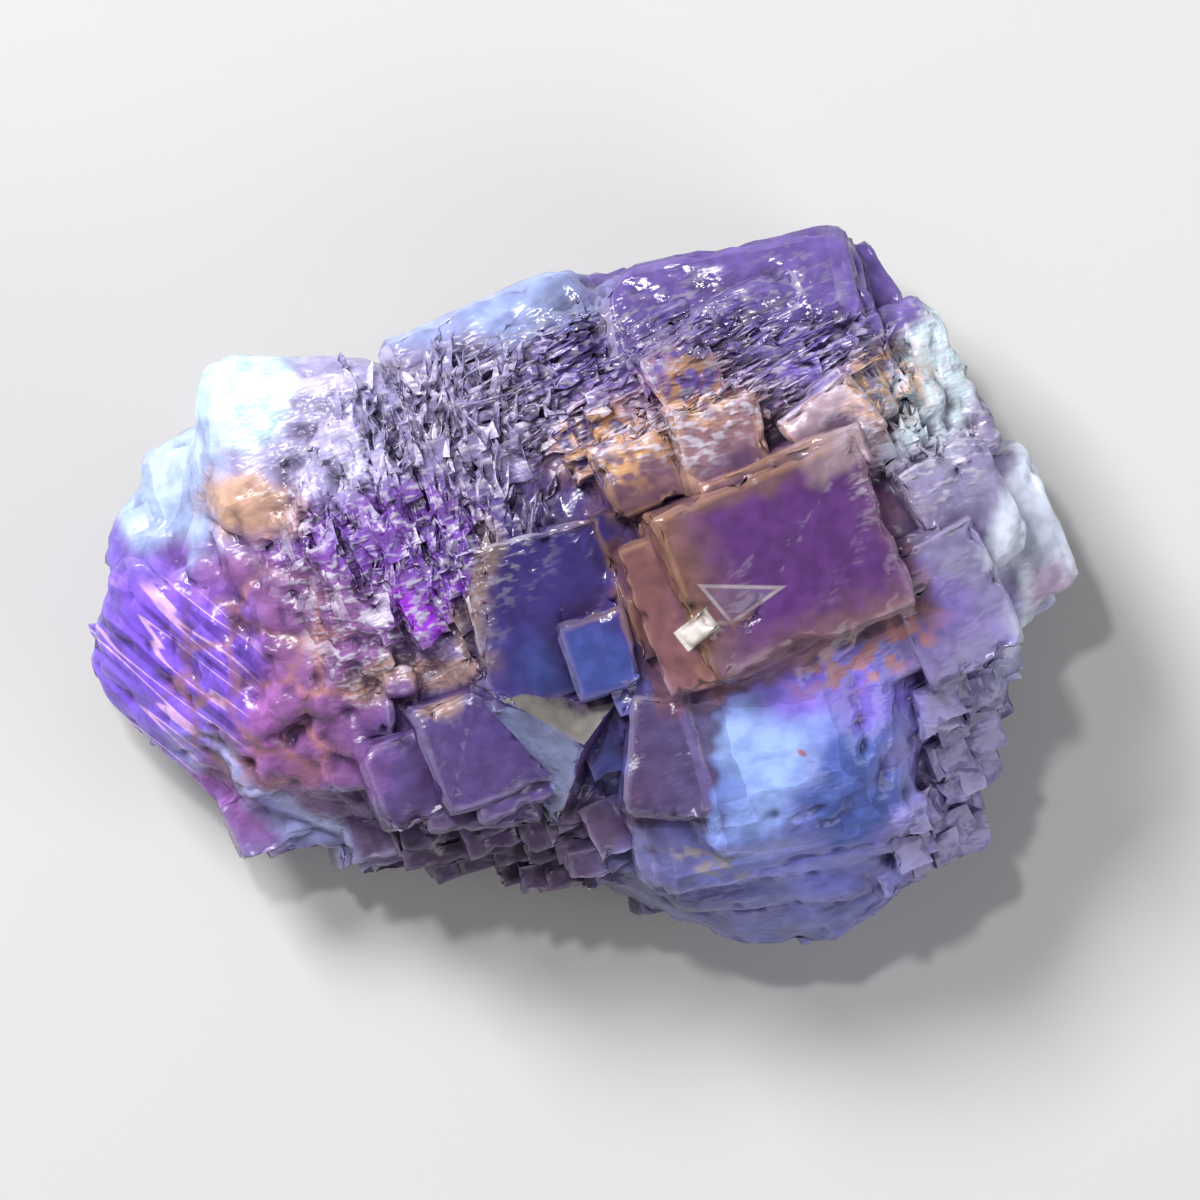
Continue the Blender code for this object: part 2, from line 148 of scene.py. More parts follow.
# Colours of the outward side, from the top edge down to the foot, the broad ones before the small ones.
FRONT_ZONES = {
    "upper flank": Zone((8.0, 18.3), (13.0, 6.0), (116, 90, 188), 12.0),
    "pale ridge": Zone((-6.7, 17.0), (8.4, 3.4), (140, 160, 222), 26.0),
    "striated dark": Zone((-1.0, 7.0), (6.0, 4.4), (70, 55, 120)),
    "grey shards": Zone((-9.9, 10.6), (8.5, 5.6), (122, 108, 158), 20.0),
    "violet shards": Zone((-12.5, 1.9), (7.5, 5.6), (98, 44, 156)),
    "frosted grains": Zone((-12.2, -2.8), (5.5, 3.5), (116, 76, 146)),
    "magenta mass": Zone((-19.8, -6.2), (7.6, 8.6), (108, 62, 116)),
    "magenta glow": Zone((-21.5, -7.3), (3.2, 2.8), (160, 84, 176), share=0.5),
    "violet glow": Zone((-8.7, -0.9), (3.0, 1.6), (132, 24, 200)),
    # The left tip's violet is its own colour, painted brighter as glow.
    "left tip": Zone((-28.8, -7.6), (6.0, 9.2), (118, 76, 240), -39.0, share=1.0),
    "left lobe": Zone((-18.3, 10.0), (7.0, 5.6), (158, 150, 205), share=0.95),
    # Painted rim light and glow: cyan-white over the lobe's top left and along the rear left edge.
    "lobe painted cyan rim light": Zone((-21.8, 12.2), (3.8, 3.2), (196, 238, 252)),
    "rear left": Zone((-26.6, 7.0), (3.4, 4.4), (160, 184, 240)),
    "grey right": Zone((22.4, 8.6), (5.4, 6.4), (122, 108, 136)),
    # Painted rim light: pale cyan-white along the upper right edge.
    "right upper rim": Zone((25.0, 15.2), (3.2, 8.0), (192, 216, 228), -30.0),
    "purple plate": Zone((23.4, -1.5), (4.6, 4.6), (112, 92, 178), 27.0, block=True),
    "grey plate": Zone((26.3, 4.2), (3.4, 5.2), (120, 112, 158), 30.0, block=True),
    "right point": Zone((30.2, 3.4), (2.9, 8.4), (208, 218, 240)),
    "pink point": Zone((31.0, -1.4), (1.8, 2.6), (188, 160, 196)),
    "mosaic": Zone((23.7, -11.8), (5.2, 8.6), (108, 98, 150)),
    # Painted rim light: pale cyan along the lower left edge.
    "lower left painted rim light": Zone((-17.4, -15.0), (8.4, 1.2), (160, 170, 242), -34.0, 0.5),
    "dusky leaves": Zone((-4.2, -17.0), (11.0, 4.6), (60, 44, 70), -4.0),
    "plates": Zone((-6.9, -11.0), (7.0, 4.6), (58, 42, 96)),
    "indigo cube": Zone((-0.3, -1.5), (6.4, 6.4), (50, 38, 116), 14.0, block=True),
    "indigo blue foot": Zone((0.6, -4.9), (4.5, 2.4), (50, 66, 148), soft=0.5),
    "dome skirt": Zone((11.4, -18.8), (10.0, 4.6), (86, 86, 146)),
    "blue dome": Zone((13.4, -11.4), (7.8, 7.6), (112, 118, 230), 14.0, 0.35),
    # Painted glow: the dome's blue made sky-blue bright.
    "dome painted glow": Zone((11.2, -10.6), (3.6, 5.4), (142, 178, 255), soft=0.7),
    "violet dome top": Zone((14.6, -6.6), (5.4, 2.2), (124, 96, 236), soft=0.5),
    "dark sparkle": Zone((17.8, -12.8), (2.6, 4.0), (62, 86, 176), -30.0),
    "lid blue corner": Zone((7.6, -13.2), (2.2, 3.0), (86, 108, 196), soft=0.6),
    "upright tan seam": Zone((-6.2, -0.9), (0.9, 5.5), (150, 120, 110)),
    "level tan seam": Zone((-9.9, -6.0), (5.0, 1.1), (150, 115, 100)),
}

# Small patches of the outward side with a crisp border, drawn over the others.
CRISP_ZONES = {
    "lobe tan": Zone((-20.6, 5.2), (3.4, 2.0), (194, 144, 112), -12.0, 0.4),
    "brown lid": Zone((6.0, -11.2), (2.9, 4.1), (62, 42, 76), -5.0, 0.15, block=True),
    "brown rim": Zone((13.3, 1.5), (7.9, 6.6), (122, 80, 72), 22.0, 0.1, block=True),
    "purple core": Zone((14.4, 2.4), (5.6, 4.6), (84, 38, 122), 22.0, 0.35, block=True),
    "brown flank": Zone((5.6, -2.2), (2.1, 5.6), (114, 68, 58), 20.0, 0.15, block=True),
    "brown cube": Zone((9.3, 8.6), (3.2, 3.2), (110, 74, 80), 21.0, 0.15, block=True),
    "brown block": Zone((4.2, 6.9), (2.7, 2.5), (102, 66, 74), 21.0, 0.15, block=True),
    "crossed block": Zone((16.4, 9.9), (3.0, 2.5), (150, 122, 132), 38.0, 0.2, block=True),
    "rust spot": Zone((14.3, -10.4), (0.5, 0.35), (150, 84, 88), 0.0, 0.4),
}

# Rusty and sandy stains, which break up into patches.
STAINS = {
    "tan patch": Zone((19.9, 12.9), (2.8, 2.4), (182, 136, 86), soft=0.5),
    "orange seam": Zone((2.0, 9.0), (3.4, 2.8), (184, 128, 70), soft=0.6),
    "orange patch": Zone((7.2, 12.7), (2.6, 2.4), (190, 134, 70), soft=0.6),
    "orange shelf": Zone((18.4, -4.3), (5.0, 1.7), (150, 92, 84), 22.0, 0.4),
    "beige zigzag": Zone((8.6, -17.6), (2.2, 0.7), (128, 118, 122), -18.0, 0.3),
}

# Where the stone is clear and glassy; elsewhere it is frosted.
CLEAR_ZONES = {
    "dome": Zone((15.1, -11.2), (6.0, 7.0), (0, 0, 0), share=0.4),
    "indigo cube": Zone((-0.3, -1.5), (6.4, 6.4), (0, 0, 0), 14.0, share=0.7, block=True),
    "purple cube": Zone((13.5, 1.6), (7.6, 6.2), (0, 0, 0), 22.0, share=0.7, block=True),
    "left tip": Zone((-28.2, -6.7), (5.6, 8.0), (0, 0, 0), -39.0, share=0.4),
    "right plates": Zone((27.0, 1.5), (6.0, 9.0), (0, 0, 0), share=0.3),
    "upper flank": Zone((9.0, 19.0), (13.0, 5.0), (0, 0, 0), 12.0),
}

# Where small crystals cover the stone, so that it sparkles and its outward faces are frosted, with those turned to
# the key light painted paler as a highlight.
GRAIN_ZONES = {
    "shards": Zone((-11.0, 5.6), (8.8, 9.6), (0, 0, 0)),
    "frosted grains": Zone((-11.2, -3.4), (5.6, 3.8), (0, 0, 0)),
    "terraces": Zone((4.0, 13.4), (15.0, 6.0), (0, 0, 0), 12.0),
    "lumps": Zone((21.5, 11.5), (5.4, 6.6), (0, 0, 0)),
}
BASE_COLOUR = (100, 86, 150)
# The pale colour of frost, also used as a painted highlight on faces turned to the key light.
FROST_AND_HIGHLIGHT_COLOUR = (186, 178, 200)
# Painted shade laid into hollows, where the surface lies below the surface around it.
CREVICE_SHADE_COLOUR = (44, 24, 62)
PALE_RIM = (150, 138, 172)
BROWN_RIM = (172, 122, 78)
SEAM_COLOUR = (158, 98, 84)
BROWN_HEART = Zone((8.6, 4.6), (10.0, 11.0), (0, 0, 0), soft=0.3)



class Facet(NamedTuple):
    """One face of the twin crystal's corner, found by the way that it faces."""

    way: tuple
    colour: tuple


TWIN_CORNER = Zone((-0.6, -10.2), (5.6, 5.8), (0, 0, 0), soft=0.1)
TWIN_FACETS = {
    "top": Facet((0.19, 0.6, 0.77), (116, 112, 98)),
    "left": Facet((-0.48, -0.63, 0.61), (112, 122, 168)),
    "right": Facet((0.86, -0.49, 0.16), (66, 46, 84)),
}
# The three corners of the small glassy triangle on the purple cube, going round it.
TRIANGLE = ((7.7, 0.1), (9.9, -2.5), (13.4, 0.0))
TRIANGLE_FILL = (134, 112, 142)
TRIANGLE_EDGE = (196, 180, 190)
# Painted highlight: a small near-white glint where a tiny face catches the light.
PAINTED_GLINT = Zone((7.7, -2.8), (1.25, 0.75), (236, 228, 222), 38.0, 0.06, 1.0, True)

# Light crosses the painted surface more than once, which deepens its colour, so the colour is made paler first.
PALENESS = 0.78
LEFT_TIP = Zone((-28.6, -7.4), (6.2, 8.6), (0, 0, 0), -39.0, 0.15, 1.0)
STREAK_SCALE = (0.08, 0.75, 0.5)
TIP_DARK = (46, 24, 100)
TIP_STREAK = (250, 190, 255)
TONE_SEED = 5
SPARKLE_CELL = (0.6, 0.6, 0.6)
# How far and how broadly the colours wander from the ovals and blocks that they are drawn as.
DRIFT_SCALE = 0.28
DRIFT_REACH = 2.2
PROUD_CELL = 0.5
PROUD_BLURS = 3

# The outward side's own colours fade out between these heights, into those that run through the stone.
FRONT_FADES = (6.0, 11.0)
IOR_FLUORITE = 1.434
ABSORBED_COLOUR = (0.55, 0.35, 0.9)
ABSORPTION_PER_METRE = 14.0


class Tree:
    """Adds nodes to a node tree: settings by name, and inputs by name or place, as values or as links."""

    def __init__(self, tree):
        self.tree = tree

    def add(self, kind, inputs=None, **settings):
        node = self.tree.nodes.new(kind)
        for name, value in settings.items():
            setattr(node, name, value)
        for key, value in (inputs or {}).items():
            socket = node.inputs[key]
            if isinstance(value, bpy.types.NodeSocket):
                self.tree.links.new(value, socket)
            else:
                socket.default_value = value
        return node

    def math(self, operation, *values, clamp=False):
        return self.add("ShaderNodeMath", dict(enumerate(values)), operation=operation, use_clamp=clamp).outputs[0]

    def attribute(self, name):
        return self.add("ShaderNodeAttribute", attribute_name=name).outputs["Fac"]

    def vector(self, operation, *values):
        node = self.add("ShaderNodeVectorMath", dict(enumerate(values)), operation=operation)
        return node.outputs["Value" if operation in ("LENGTH", "DOT_PRODUCT", "DISTANCE") else "Vector"]

    def ramp(self, value, low, high, to_low=0.0, to_high=1.0):
        inputs = {"Value": value, "From Min": low, "From Max": high, "To Min": to_low, "To Max": to_high}
        return self.add("ShaderNodeMapRange", inputs, interpolation_type="SMOOTHSTEP").outputs["Result"]

    def mix(self, share, low, high, blend="MIX"):
        node = self.add("ShaderNodeMix", {"Factor": share}, data_type="RGBA", blend_type=blend)
        for place, value in ((6, low), (7, high)):
            if isinstance(value, bpy.types.NodeSocket):
                self.tree.links.new(value, node.inputs[place])
            else:
                node.inputs[place].default_value = value
        return node.outputs[2]


def growth_tree():
    """Geometry nodes that grow the small crystals over the cluster and join them to it in one solid."""
    tree = bpy.data.node_groups.new("grown surface", "GeometryNodeTree")
    face = tree.interface
    face.new_socket("Geometry", in_out="INPUT", socket_type="NodeSocketGeometry")
    face.new_socket("Size", in_out="INPUT", socket_type="NodeSocketFloat")
    face.new_socket("Thickness", in_out="INPUT", socket_type="NodeSocketFloat")
    face.new_socket("Seed", in_out="INPUT", socket_type="NodeSocketInt")
    face.new_socket("Stone", in_out="INPUT", socket_type="NodeSocketMaterial")
    face.new_socket("Geometry", in_out="OUTPUT", socket_type="NodeSocketGeometry")
    t = Tree(tree)
    given = t.add("NodeGroupInput").outputs
    forms = {"cube": t.add("GeometryNodeMeshCube", {"Size": (MM, MM, MM)}).outputs["Mesh"]}
    chip = t.add("GeometryNodeMeshCone", {"Vertices": 3, "Radius Top": 0.0, "Radius Bottom": 0.6 * MM, "Depth": MM})
    forms["chip"] = chip.outputs["Mesh"]
    place = t.add("GeometryNodeInputPosition").outputs[0]
    join = t.add("GeometryNodeMeshBoolean", operation="UNION", solver="MANIFOLD")
    tree.links.new(given["Geometry"], join.inputs["Mesh 2"])
    for i, growth in enumerate(GROWTHS.values()):
        seed = t.math("ADD", given["Seed"], float(i))
        thick = t.math("MULTIPLY", given["Thickness"], growth.per_cm2 * 1.0e4)
        spread = t.add("GeometryNodeDistributePointsOnFaces",
                       {"Mesh": given["Geometry"], "Density": thick, "Seed": seed}).outputs
        sink = t.vector("MULTIPLY", spread["Normal"], Vector((-1.0, -1.0, -1.0)) * growth.sunk * MM)
        points = t.add("GeometryNodeSetPosition", {"Geometry": spread["Points"], "Offset": sink}).outputs[0]
        away = t.vector("SUBTRACT", place, Vector(growth.middle) * MM)
        near = t.math("LESS_THAN", t.vector("LENGTH", t.vector("DIVIDE", away, Vector(growth.reach) * MM)), 1.0)
        way = Vector(math.radians(angle) for angle in growth.way)
        stray = Vector(math.radians(angle) for angle in growth.stray)
        turned = t.add("FunctionNodeRandomValue", {0: way - stray, 1: way + stray, "Seed": seed},
                       data_type="FLOAT_VECTOR").outputs[0]
        low, high = (Vector(growth.size) * limit for limit in (growth.smallest, growth.largest))
        size = t.add("FunctionNodeRandomValue", {0: low, 1: high, "Seed": t.math("ADD", seed, 50.0)},
                     data_type="FLOAT_VECTOR").outputs[0]
        scaled = t.add("ShaderNodeVectorMath", {0: size, "Scale": given["Size"]}, operation="SCALE").outputs[0]
        grown = t.add("GeometryNodeInstanceOnPoints", {"Points": points, "Selection": near,
                                                       "Instance": forms[growth.form],
                                                       "Rotation": turned, "Scale": scaled}).outputs[0]
        tree.links.new(grown, join.inputs["Mesh 2"])
    below = t.add("GeometryNodeMeshCube", {"Size": Vector(FLOOR_BLOCK) * MM}).outputs["Mesh"]
    below = t.add("GeometryNodeTransform", {"Geometry": below, "Translation": (0.0, 0.0, -FLOOR_BLOCK[2] / 2.0 * MM)})
    cut = t.add("GeometryNodeMeshBoolean", {"Mesh 1": join.outputs["Mesh"], "Mesh 2": below.outputs[0]},
                operation="DIFFERENCE", solver="MANIFOLD")
    stone = t.add("GeometryNodeSetMaterial", {"Geometry": cut.outputs["Mesh"], "Material": given["Stone"]})
    real = t.add("GeometryNodeRealizeInstances", {"Geometry": stone.outputs[0]}).outputs[0]
    t.add("NodeGroupOutput", {"Geometry": real})
    return tree


def grow_surface(cad, stone):
    """The dressed cluster: a copy of the solid, with the small crystals grown on it."""
    mesh = cad.data.copy()
    bm = bmesh.new()
    bm.from_mesh(mesh)
    bmesh.ops.remove_doubles(bm, verts=bm.verts, dist=1.0e-7)
    bm.to_mesh(mesh)
    bm.free()
    mesh.materials.clear()
    base = bpy.data.objects.new("ungrown", mesh)
    bpy.context.scene.collection.objects.link(base)
    modifier = base.modifiers.new("growth", "NODES")
    modifier.node_group = growth_tree()
    wanted = {"Size": 1.0, "Thickness": 1.0, "Seed": 7, "Stone": stone}
    for item in modifier.node_group.interface.items_tree:
        if item.in_out == "INPUT" and item.name in wanted:
            modifier[item.identifier] = wanted[item.name]
    graph = bpy.context.evaluated_depsgraph_get()
    grown = bpy.data.meshes.new_from_object(base.evaluated_get(graph))
    bpy.data.objects.remove(base)
    grown.name = PIECE
    finish_surface(grown)
    piece = bpy.data.objects.new(PIECE, grown)
    bpy.context.scene.collection.objects.link(piece)
    return piece

def halve(edge):
    """Cuts an edge in the middle, and each triangle beside it into two, so that no seam opens."""
    middle = bmesh.utils.edge_split(edge, edge.verts[0], 0.5)[1]
    beside = {end.other_vert(middle) for end in middle.link_edges}
    for face in list(middle.link_faces):
        across = next(vert for vert in face.verts if vert is not middle and vert not in beside)
        bmesh.utils.face_split(face, middle, across, use_exist=False)


def refine(mesh):
    """Cuts the faces into small triangles, so that they can hold marks and be rounded."""
    bm = bmesh.new()
    bm.from_mesh(mesh)
    bmesh.ops.triangulate(bm, faces=bm.faces)
    for _ in range(REFINING_ROUNDS):
        lengths = {edge: edge.calc_length() for edge in bm.edges}
        long = [edge for edge, length in lengths.items() if length > LONGEST_EDGE * MM]
        for edge in sorted(long, key=lengths.get, reverse=True):
            halve(edge)
        if not long:
            break
    bm.to_mesh(mesh)
    bm.free()


def oval_share(places, middle, reach):
    """One in the middle of the oval place, falling to nought at its edge."""
    away = np.hypot((places[:, 0] - middle[0]) / reach[0], (places[:, 1] - middle[1]) / reach[1])
    share = np.clip((1.0 - away) / 0.35, 0.0, 1.0)
    return share * share * (3.0 - 2.0 * share) * np.clip((places[:, 2] - 5.0) / 4.0, 0.0, 1.0)


def rim_distances(bm, places):
    """How far each vertex is from the nearest outward edge between two crystal faces."""
    marks = []
    for edge in bm.edges:
        if len(edge.link_faces) == 2 and edge.calc_face_angle_signed(0.0) > math.radians(SHARP_DEGREES):
            start, end = (vert.co / MM for vert in edge.verts)
            steps = max(1, round((end - start).length / RIM_STEP))
            marks += [start.lerp(end, k / steps) for k in range(steps)]
    tree = KDTree(len(marks))
    for i, mark in enumerate(marks):
        tree.insert(mark, i)
    tree.balance()
    return np.array([tree.find(place)[2] for place in places])


def prouds(places, normals):
    """How far each vertex stands out from the mean of the surface around it."""
    cells = ((places - places.min(axis=0)) / PROUD_CELL).astype(int) + PROUD_BLURS
    sums = np.zeros((*(cells.max(axis=0) + 1 + PROUD_BLURS), 4))
    np.add.at(sums, tuple(cells.T), np.column_stack((places, np.ones(len(places)))))
    for _ in range(PROUD_BLURS):
        for axis in range(3):
            sums = sums + np.roll(sums, 1, axis) + np.roll(sums, -1, axis)
    around = sums[tuple(cells.T)]
    return ((places - around[:, :3] / around[:, 3:]) * normals).sum(axis=1)


def lumps(places, share):
    """The gap between each vertex's nearest two lump middles: nought along the seams between the lumps."""
    gaps = np.ones(len(places))
    for i in np.flatnonzero(share):
        near = noise.voronoi(Vector(places[i]) / LUMP_BREADTH)[0]
        gaps[i] = near[1] - near[0]
    return gaps


def facet_tones(mesh):
    """A tone for each flat facet, the same over all the triangles that lie in it."""
    count = len(mesh.polygons)
    middles = np.empty(count * 3)
    normals = np.empty(count * 3)
    mesh.polygons.foreach_get("center", middles)
    mesh.polygons.foreach_get("normal", normals)
    middles = middles.reshape(-1, 3) / MM
    normals = normals.reshape(-1, 3)
    planes = np.column_stack((normals * 12.0, (middles * normals).sum(axis=1) * 4.0)).round().astype(int)
    facets = np.unique(planes, axis=0, return_inverse=True)[1].ravel()
    return np.random.default_rng(TONE_SEED).random(facets.max() + 1)[facets]


def smooth_step(values, low, high):
    share = np.clip((values - low) / (high - low), 0.0, 1.0)
    return share * share * (3.0 - 2.0 * share)


def zone_share(flat, zone):
    """One inside the zone, nought outside it, with its soft edge between."""
    angle = math.radians(zone.turn)
    away = flat - zone.middle
    across = (away @ (math.cos(angle), math.sin(angle))) / zone.reach[0]
    up = (away @ (-math.sin(angle), math.cos(angle))) / zone.reach[1]
    apart = np.maximum(abs(across), abs(up)) if zone.block else np.hypot(across, up)
    return zone.share * smooth_step(apart, 1.0 + zone.soft, 1.0 - zone.soft)


def most_share(flat, zones):
    return np.max([zone_share(flat, zone) for zone in zones.values()], axis=0)


def zoned(flat, colours, zones):
    """The colours with each zone's own laid over them in turn."""
    for zone in zones.values():
        share = zone_share(flat, zone)[:, None]
        colours = colours + (linear(zone.colour)[:3] - colours) * share
    return colours


def zone_marks(places):
    """The broad colours of the stone, and the shares of the places that are grainy, clear, brown or streaked."""
    drift = np.array([noise.noise_vector(Vector(place) * DRIFT_SCALE) for place in places])
    flat = (places + drift * DRIFT_REACH)[:, :2]
    deep = zoned(flat, np.array(linear(BASE_COLOUR)[:3]), DEEP_ZONES)
    front = zoned(flat, deep, FRONT_ZONES)
    outward = smooth_step(places[:, 2] + drift[:, 2] * DRIFT_REACH, *FRONT_FADES)
    colours = deep + (front - deep) * outward[:, None]
    marks = {"grain": most_share(flat, GRAIN_ZONES), "clear": most_share(flat, CLEAR_ZONES) * outward,
             "brown": zone_share(flat, BROWN_HEART) * outward, "tip": zone_share(flat, LEFT_TIP), "outward": outward}
    return colours, marks


def finish_surface(mesh):
    """Rounds the worn places, swells the glassy lumps, and marks tones, rims, seams and proud parts."""
    refine(mesh)
    tones = facet_tones(mesh)
    bm = bmesh.new()
    bm.from_mesh(mesh)
    places = np.array([vert.co / MM for vert in bm.verts])
    ends = np.array([[vert.index for vert in edge.verts] for edge in bm.edges])
    rims = rim_distances(bm, places)
    bm.free()
    worn = np.zeros(len(places))
    links = np.bincount(ends.ravel(), minlength=len(places))[:, None]
    for middle, reach, rounds in WORN_PLACES.values():
        share = oval_share(places, middle, reach)
        worn = np.maximum(worn, share)
        for _ in range(rounds):
            total = np.zeros_like(places)
            np.add.at(total, ends[:, 0], places[ends[:, 1]])
            np.add.at(total, ends[:, 1], places[ends[:, 0]])
            places += (total / links - places) * (share * 0.6)[:, None]
    mesh.vertices.foreach_set("co", (places * MM).ravel())
    mesh.update()
    mesh.shade_smooth()
    mesh.set_sharp_from_angle(angle=math.radians(SHARP_DEGREES))
    sharp = mesh.attributes["sharp_edge"].data
    for index in np.flatnonzero(worn[ends].min(axis=1) > 0.5):
        sharp[index].value = False
    normals = np.array([vert.normal for vert in mesh.vertices])
    share = oval_share(places, LUMPS.middle, LUMPS.reach)
    gaps = lumps(places, share)
    swell = share * (np.clip(gaps / 0.5, 0.0, 1.0) - 0.7) * LUMP_SWELL
    waves = np.array([noise.noise(Vector(place) * WAVE_SCALE) for place in places])
    chips = np.array([noise.noise(Vector(place) * CHIP_SCALE) for place in places])
    bitten = np.clip(chips, 0.0, 0.5) * np.clip(1.0 - rims / CHIP_REACH, 0.0, 1.0)
    moved = (swell + waves * WAVE_DEPTH - bitten * CHIP_DEPTH) * np.clip(places[:, 2] / EVEN_BED, 0.0, 1.0)
    places += normals * moved[:, None]
    mesh.vertices.foreach_set("co", (places * MM).ravel())
    mesh.update()
    seams = share * np.clip(1.0 - gaps / 0.16, 0.0, 1.0)
    colours, marks = zone_marks(places)
    marks |= {"rim": rims + worn * 2.0, "proud": prouds(places, normals), "seam": seams}
    for name, values in marks.items():
        mesh.attributes.new(name, "FLOAT", "POINT").data.foreach_set("value", values.astype(np.float32))
    colours = np.column_stack((colours, np.ones(len(colours)))).astype(np.float32)
    mesh.attributes.new("zones", "FLOAT_COLOR", "POINT").data.foreach_set("color", colours.ravel())
    mesh.attributes.new("tone", "FLOAT", "FACE").data.foreach_set("value", tones.astype(np.float32))


def linear(colour):
    """An sRGB colour out of 255 as the linear colour that shaders take."""
    return (*((v / 255.0 / 12.92 if v < 10.3 else ((v / 255.0 + 0.055) / 1.055) ** 2.4) for v in colour), 1.0)


class Plan:
    """The place on the stone as seen from above, in millimetres, turned as each zone needs it."""

    def __init__(self, t, where):
        self.t = t
        self.flat = t.vector("MULTIPLY", where, (1.0, 1.0, 0.0))
        self.turned = {0.0: self.flat}

    def at(self, turn):
        if turn not in self.turned:
            angle = (0.0, 0.0, -math.radians(turn))
            node = self.t.add("ShaderNodeVectorRotate", {"Vector": self.flat, "Rotation": angle},
                              rotation_type="EULER_XYZ")
            self.turned[turn] = node.outputs[0]
        return self.turned[turn]

    def mask(self, zone):
        """One inside the zone, nought outside it, with its soft edge between."""
        turn = math.radians(-zone.turn)
        x, y = zone.middle
        middle = (x * math.cos(turn) - y * math.sin(turn), x * math.sin(turn) + y * math.cos(turn))
        scale = [1.0 / reach for reach in zone.reach]
        shift = [-place * size for place, size in zip(middle, scale)]
        t = self.t
        moved = t.vector("MULTIPLY_ADD", self.at(zone.turn), (*scale, 0.0), (*shift, 0.0))
        if zone.block:
            apart = t.add("ShaderNodeSeparateXYZ", {0: t.vector("ABSOLUTE", moved)}).outputs
            away = t.math("MAXIMUM", apart["X"], apart["Y"])
        else:
            away = t.vector("LENGTH", moved)
        return t.ramp(away, 1.0 + zone.soft, 1.0 - zone.soft, 0.0, zone.share)

    def inside(self, corners):
        """How far inside the corners' outline a place is, in millimetres, and below nought outside it."""
        depth = 100.0
        for (x, y), (next_x, next_y) in zip(corners, corners[1:] + corners[:1]):
            inward = Vector((y - next_y, next_x - x, 0.0)).normalized()
            along = self.t.vector("DOT_PRODUCT", self.flat, inward)
            depth = self.t.math("MINIMUM", depth, self.t.math("SUBTRACT", along, inward.dot(Vector((x, y, 0.0)))))
        return depth

    def colour(self, colour, zones):
        for zone in zones.values():
            colour = self.t.mix(self.mask(zone), colour, linear(zone.colour))
        return colour


